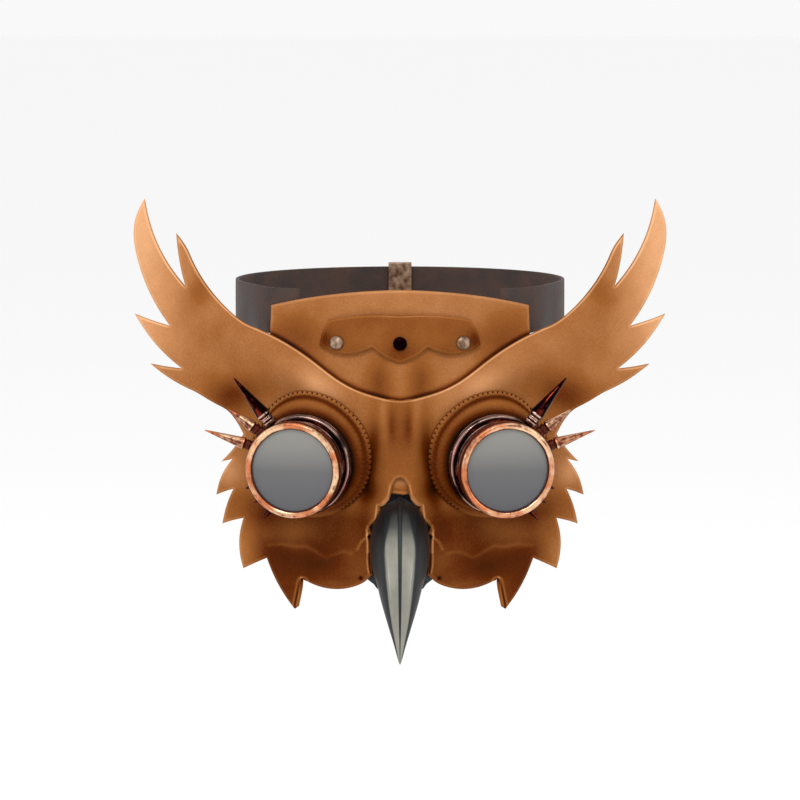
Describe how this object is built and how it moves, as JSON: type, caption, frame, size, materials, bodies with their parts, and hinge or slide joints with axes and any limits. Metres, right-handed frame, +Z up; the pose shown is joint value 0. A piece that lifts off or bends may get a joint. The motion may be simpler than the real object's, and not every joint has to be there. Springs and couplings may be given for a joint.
{
  "type": "owl mask with goggle eyepieces",
  "caption": "Moulded leather owl mask with horned brows, goggle eyepieces with spikes, a curved metal beak and a head strap.",
  "frame": {"origin": "inner face of the leather at the bridge of the nose, where the mask rests on the wearer", "axes": "+Z up as worn, -Y the way the mask looks, +X to the right as seen from the front"},
  "size_m": [0.3046, 0.2584, 0.2495],
  "materials": {
    "tan_leather": "moulded tan leather, satin, darker in the hollows",
    "dark_leather": "dark brown strap leather",
    "antique_copper": "polished antique copper with worn edges",
    "dark_copper": "blackened copper, glossy",
    "antique_silver": "antique silver plate",
    "gunmetal": "satin gunmetal",
    "lens_glass": "smoked glass with a grey mirror coat, opaque"
  },
  "bodies": {
    "root": {"face_panel": "tan_leather", "forehead_panel": "tan_leather", "crest": "tan_leather", "beak_tongue": "tan_leather", "eye_patch_left": "tan_leather", "eye_patch_right": "tan_leather", "crest_rivet_left": "antique_silver", "crest_rivet_right": "antique_silver", "crest_rivet_middle": "dark_copper", "eye_barrel_left": "dark_copper", "eye_barrel_right": "dark_copper", "eye_ring_left": "antique_copper", "eye_ring_right": "antique_copper", "eye_lens_left": "lens_glass", "eye_lens_right": "lens_glass", "spike_upper_left": "dark_copper", "spike_upper_right": "dark_copper", "spike_middle_left": "antique_copper", "spike_middle_right": "antique_copper", "spike_lower_left": "antique_copper", "spike_lower_right": "antique_copper", "stud_upper_left": "dark_copper", "stud_upper_right": "dark_copper", "stud_middle_left": "dark_copper", "stud_middle_right": "dark_copper", "stud_lower_left": "dark_copper", "stud_lower_right": "dark_copper", "beak": "gunmetal", "beak_plate": "gunmetal", "head_strap": "dark_leather", "strap_buckle": "antique_silver"}
  },
  "joints": []
}
